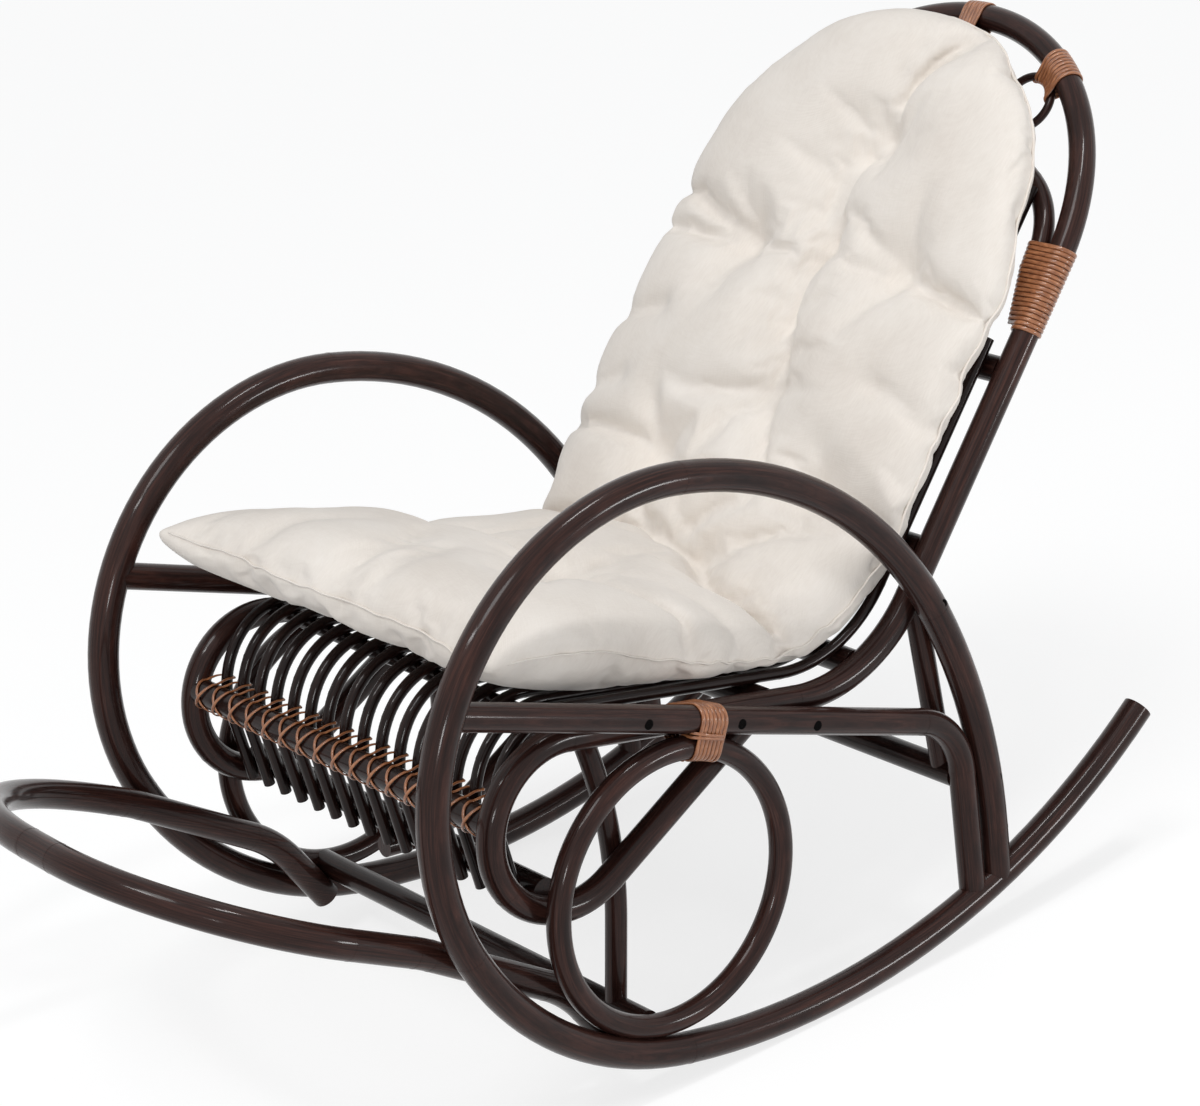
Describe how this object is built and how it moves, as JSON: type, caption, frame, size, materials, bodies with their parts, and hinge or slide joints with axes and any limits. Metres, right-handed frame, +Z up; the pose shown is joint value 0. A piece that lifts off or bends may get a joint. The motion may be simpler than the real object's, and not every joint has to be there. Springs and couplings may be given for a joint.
{
  "type": "rattan rocking chair",
  "caption": "Bent rattan rocking chair with scrolled seat, hooped back, looped footrest and one long tufted cushion.",
  "frame": {"origin": "on the floor where the two runners touch it, midway between them and straight under the centre of the rocking curve", "axes": "+Z up, the chair faces -Y, +X to the sitter's left"},
  "size_m": [0.5974, 1.3015, 0.9221],
  "materials": {
    "cane": "dark stained and varnished cane, satin gloss",
    "binding": "flat split cane, varnished",
    "cushion": "matt cotton, unbleached white"
  },
  "bodies": {
    "root": {"side_pole_left": "cane", "side_pole_right": "cane", "seat_rail_left": "cane", "seat_rail_right": "cane", "side_ring_left": "cane", "side_ring_right": "cane", "foot_loop": "cane", "seat_pole_left": "cane", "seat_pole_right": "cane", "back_hoop": "cane", "inner_hoop": "cane", "hoop_ring_left": "cane", "hoop_ring_right": "cane", "slat_01": "cane", "slat_02": "cane", "slat_03": "cane", "slat_04": "cane", "slat_05": "cane", "slat_06": "cane", "slat_07": "cane", "slat_08": "cane", "slat_09": "cane", "slat_10": "cane", "slat_11": "cane", "slat_12": "cane", "slat_13": "cane", "slat_14": "cane", "slat_15": "cane", "slat_16": "cane", "roll_bar_lower": "cane", "roll_bar_middle": "cane", "roll_bar_upper": "cane", "seat_bar_middle": "cane", "seat_bar_rear": "cane", "back_bar_lower": "cane", "back_bar_upper": "cane", "stretcher": "cane", "rear_bar": "cane", "rear_post_left": "cane", "rear_post_right": "cane", "centre_brace": "cane", "prop_left": "cane", "waist_wrap_left": "binding", "waist_wrap_right": "binding", "top_wrap": "binding", "ring_wrap_left": "binding", "ring_wrap_right": "binding", "rail_wrap_left": "binding", "rail_wrap_right": "binding", "bar_lashing": "binding", "cushion": "cushion"}
  },
  "joints": []
}
